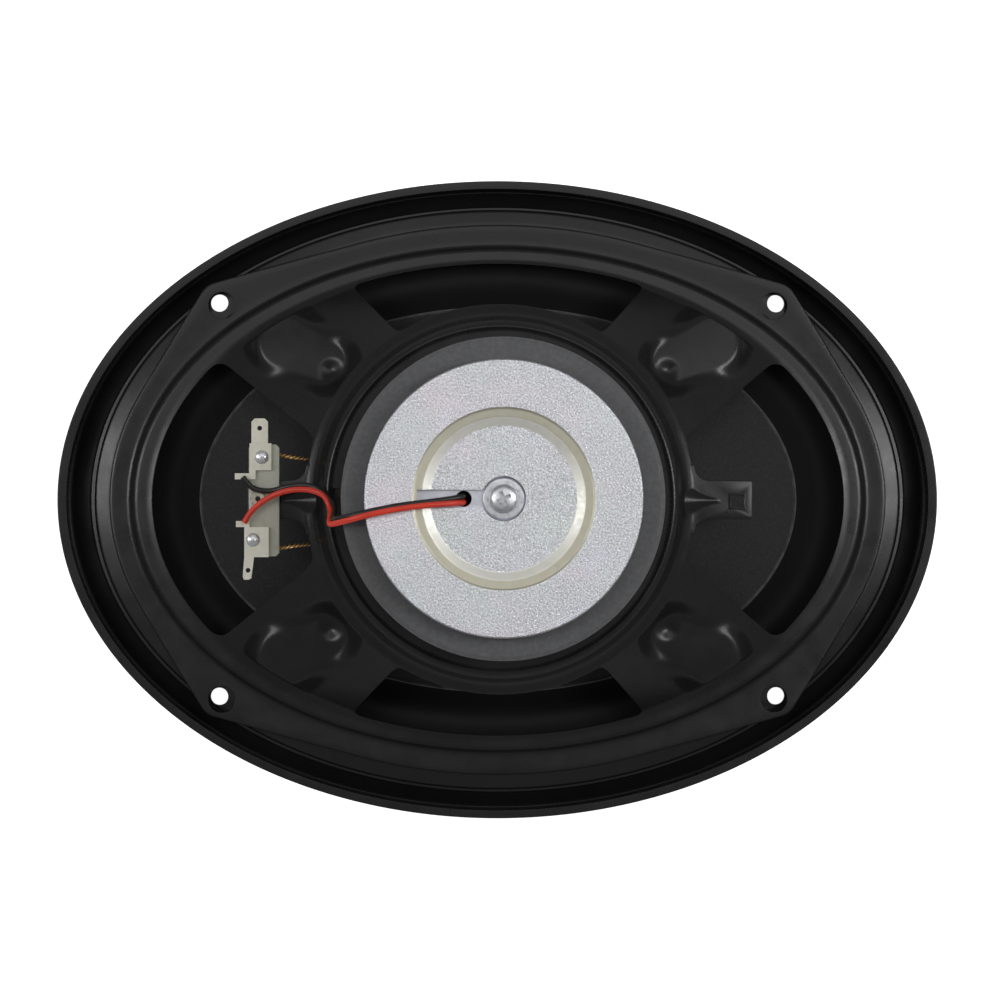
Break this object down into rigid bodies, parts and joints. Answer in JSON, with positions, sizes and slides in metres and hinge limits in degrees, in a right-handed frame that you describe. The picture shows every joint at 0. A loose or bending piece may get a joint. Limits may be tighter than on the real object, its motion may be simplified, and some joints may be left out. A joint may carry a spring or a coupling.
{
  "type": "coaxial car speaker",
  "caption": "Oval coaxial car speaker with an open pressed-steel basket, ring magnet, flat terminals, a roll-surround cone and a post-mounted tweeter behind an oval grille.",
  "frame": {"origin": "middle of the front rim of the trim ring, which the speaker lies on", "axes": "+Z from the listener to the back of the speaker, along the magnet's axis; +X along the long side, away from the terminals; +Y along the short side"},
  "size_m": [0.2408, 0.1744, 0.0881],
  "materials": {
    "trim_plastic": "black moulded plastic",
    "grille_steel": "black powder-coated perforated steel",
    "basket_paint": "satin black paint on pressed steel",
    "zinc_plate": "zinc-plated steel, passivated",
    "ferrite": "dark grey sintered ferrite",
    "screw_steel": "zinc-plated steel",
    "washer_steel": "zinc-plated steel",
    "cone_paper": "black pressed paper pulp",
    "former_foil": "aluminium foil",
    "coil_copper": "enamelled copper wire",
    "surround_rubber": "black rubber",
    "spider_cloth": "resin-treated woven cloth",
    "tweeter_plastic": "black moulded plastic",
    "faceplate_finish": "metallised plastic",
    "capacitor_sleeve": "dark blue sleeve",
    "tweeter_steel": "plain steel",
    "tweeter_nickel": "nickel-plated magnet",
    "dome_film": "metallised film",
    "board_laminate": "pale fibre laminate",
    "eyelet_brass": "plated brass",
    "tinned_brass": "tinned brass",
    "rivet_solder": "tinned rivet with solder",
    "lead_black": "black insulation",
    "lead_red": "red insulation",
    "tinsel_copper": "braided copper"
  },
  "bodies": {
    "frame": {"trim_ring": "trim_plastic", "grille_mesh": "grille_steel", "basket": "basket_paint", "top_plate": "zinc_plate", "yoke": "zinc_plate", "magnet": "ferrite", "center_screw": "screw_steel", "screw_washer": "washer_steel", "surround": "surround_rubber", "spider": "spider_cloth", "tweeter_post": "tweeter_plastic", "tweeter_housing": "tweeter_plastic", "tweeter_faceplate": "faceplate_finish", "crossover_capacitor": "capacitor_sleeve", "tweeter_cup": "tweeter_steel", "tweeter_magnet": "tweeter_nickel", "terminal_board": "board_laminate", "board_eyelet": "eyelet_brass", "terminal_positive": "tinned_brass", "terminal_negative": "tinned_brass", "terminal_rivet_positive": "rivet_solder", "terminal_rivet_negative": "rivet_solder", "tweeter_lead_black": "lead_black", "tweeter_lead_red": "lead_red", "tinsel_lead_positive": "tinsel_copper", "tinsel_lead_negative": "tinsel_copper"},
    "cone_assembly": {"cone": "cone_paper", "voice_coil_former": "former_foil", "voice_coil_winding": "coil_copper"},
    "tweeter_diaphragm": {"tweeter_dome": "dome_film", "tweeter_coil": "coil_copper"}
  },
  "joints": [
    {"name": "cone_excursion", "type": "slide", "parent": "frame", "child": "cone_assembly", "axis": [0, 0, 1], "range_m": [-0.004, 0.004], "stiffness_N_per_m": 2500, "deforming": ["surround", "spider", "tinsel_lead_positive", "tinsel_lead_negative"]},
    {"name": "tweeter_excursion", "type": "slide", "parent": "frame", "child": "tweeter_diaphragm", "axis": [0, 0, 1], "range_m": [-0.0003, 0.0003], "stiffness_N_per_m": 3000}
  ]
}
